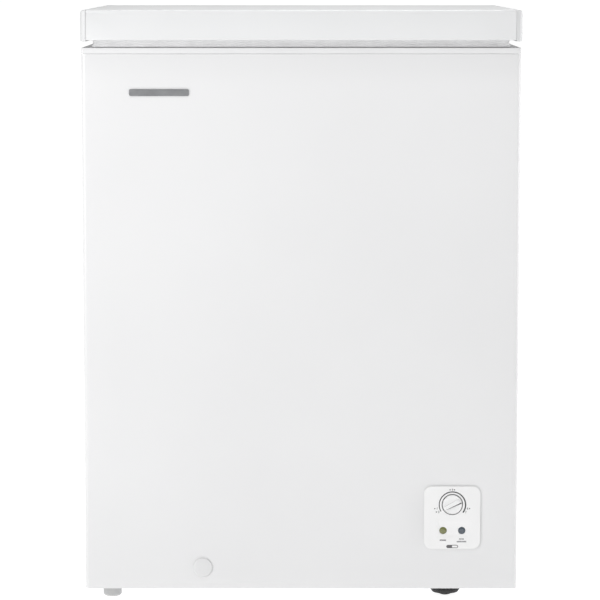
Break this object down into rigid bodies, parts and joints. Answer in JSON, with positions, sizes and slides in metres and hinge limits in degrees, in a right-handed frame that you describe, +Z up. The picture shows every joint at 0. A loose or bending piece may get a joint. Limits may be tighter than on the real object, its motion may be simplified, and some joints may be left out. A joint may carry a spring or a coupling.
{
  "type": "chest freezer",
  "caption": "White chest freezer with a spring-hinged lid, stepped tank, sliding basket, front dial thermostat, drain cap and a compressor bay at the lower right.",
  "frame": {"origin": "On the floor, at the centre of the freezer's overall width and depth.", "axes": "+X is the viewer's right when facing the front, +Y points from the front to the back, +Z is up."},
  "size_m": [0.625, 0.559, 0.85],
  "materials": {
    "white_enamel": "satin",
    "white_plastic": "satin",
    "panel_plastic": "satin",
    "grey_plastic": "satin",
    "black_plastic": "matte",
    "black_enamel": "satin",
    "gasket_rubber": "matte",
    "black_rubber": "matte",
    "embossed_aluminium": "satin",
    "zinc_steel": "satin",
    "spring_steel": "gloss",
    "copper": "satin",
    "foam": "matte",
    "badge_metal": "satin",
    "green_lens": "gloss",
    "blue_lens": "gloss",
    "basket_wire": "gloss"
  },
  "bodies": {
    "cabinet": {"outer_wrapper": "white_enamel", "rear_panel": "zinc_steel", "base_pan": "zinc_steel", "compartment_bulkhead": "zinc_steel", "compressor_tray": "zinc_steel", "insulation_foam": "foam", "inner_liner": "embossed_aluminium", "top_frame": "white_plastic", "evaporator_coil": "copper", "condenser_coil": "copper", "side_vent_grille": "white_plastic", "rear_vent_cover": "zinc_steel", "cord_gland": "black_rubber", "compressor_base_plate": "black_enamel", "compressor_grommet_1": "black_rubber", "compressor_grommet_2": "black_rubber", "compressor_grommet_3": "black_rubber", "compressor_grommet_4": "black_rubber", "compressor_lower_shell": "black_enamel", "compressor_upper_shell": "black_enamel", "compressor_motor": "spring_steel", "compressor_terminal_cover": "black_plastic", "filter_drier": "copper", "suction_line": "copper", "discharge_line": "copper", "capillary_tube": "copper", "wiring_loom": "black_plastic", "control_panel": "panel_plastic", "thermostat_body": "grey_plastic", "lamp_board": "grey_plastic", "power_lamp_lens": "green_lens", "freeze_lamp_lens": "blue_lens", "drain_tube": "white_plastic", "badge_plate": "badge_metal", "foot_front_left": "grey_plastic", "foot_rear_left": "grey_plastic", "foot_rear_right": "grey_plastic", "hinge_left_base": "zinc_steel", "hinge_left_pin": "spring_steel", "hinge_left_spring": "spring_steel", "hinge_right_base": "zinc_steel", "hinge_right_pin": "spring_steel", "hinge_right_spring": "spring_steel"},
    "lid": {"lid_shell": "white_enamel", "lid_end_cap_left": "white_plastic", "lid_end_cap_right": "white_plastic", "lid_foam": "foam", "lid_liner": "white_plastic", "lid_gasket": "gasket_rubber", "hinge_left_leaf": "zinc_steel", "hinge_right_leaf": "zinc_steel"},
    "left_plunger": {"hinge_left_plunger": "spring_steel"},
    "right_plunger": {"hinge_right_plunger": "spring_steel"},
    "thermostat_dial": {"thermostat_knob": "panel_plastic", "thermostat_shaft": "spring_steel"},
    "drain_stopper": {"drain_cap": "white_plastic"},
    "tank_stopper": {"tank_drain_plug": "black_rubber"},
    "hanging_basket": {"basket": "basket_wire"},
    "screw_foot": {"levelling_foot": "black_plastic"}
  },
  "joints": [
    {"name": "lid_hinge", "type": "hinge", "parent": "cabinet", "child": "lid", "pos_m": [0, 0.2735, 0.802], "axis": [-1, 0, 0], "range_deg": [0, 80], "stiffness_Nm_per_rad": 6, "springref_deg": 85.94},
    {"name": "left_plunger_slide", "type": "slide", "parent": "cabinet", "child": "left_plunger", "axis": [0, 0, 1], "range_m": [0, 0.0078], "deforming": ["hinge_left_spring"]},
    {"name": "right_plunger_slide", "type": "slide", "parent": "cabinet", "child": "right_plunger", "axis": [0, 0, 1], "range_m": [0, 0.0078], "deforming": ["hinge_right_spring"]},
    {"name": "thermostat_turn", "type": "hinge", "parent": "cabinet", "child": "thermostat_dial", "pos_m": [0.2174, -0.27, 0.1421], "axis": [0, 1, 0], "range_deg": [-197, 73]},
    {"name": "drain_cap_pull", "type": "slide", "parent": "cabinet", "child": "drain_stopper", "axis": [0, -1, 0], "range_m": [0, 0.03]},
    {"name": "tank_plug_lift", "type": "slide", "parent": "cabinet", "child": "tank_stopper", "axis": [0, 0, 1], "range_m": [0, 0.05]},
    {"name": "basket_slide", "type": "slide", "parent": "cabinet", "child": "hanging_basket", "axis": [1, 0, 0], "range_m": [-0.28, 0.008]},
    {"name": "levelling_foot_screw", "type": "slide", "parent": "cabinet", "child": "screw_foot", "axis": [0, 0, -1], "range_m": [0, 0.008]}
  ],
  "couplings": [
    {"joint": "left_plunger_slide", "follows": "lid_hinge", "m_per_rad": 0.005524},
    {"joint": "right_plunger_slide", "follows": "lid_hinge", "m_per_rad": 0.005524}
  ]
}
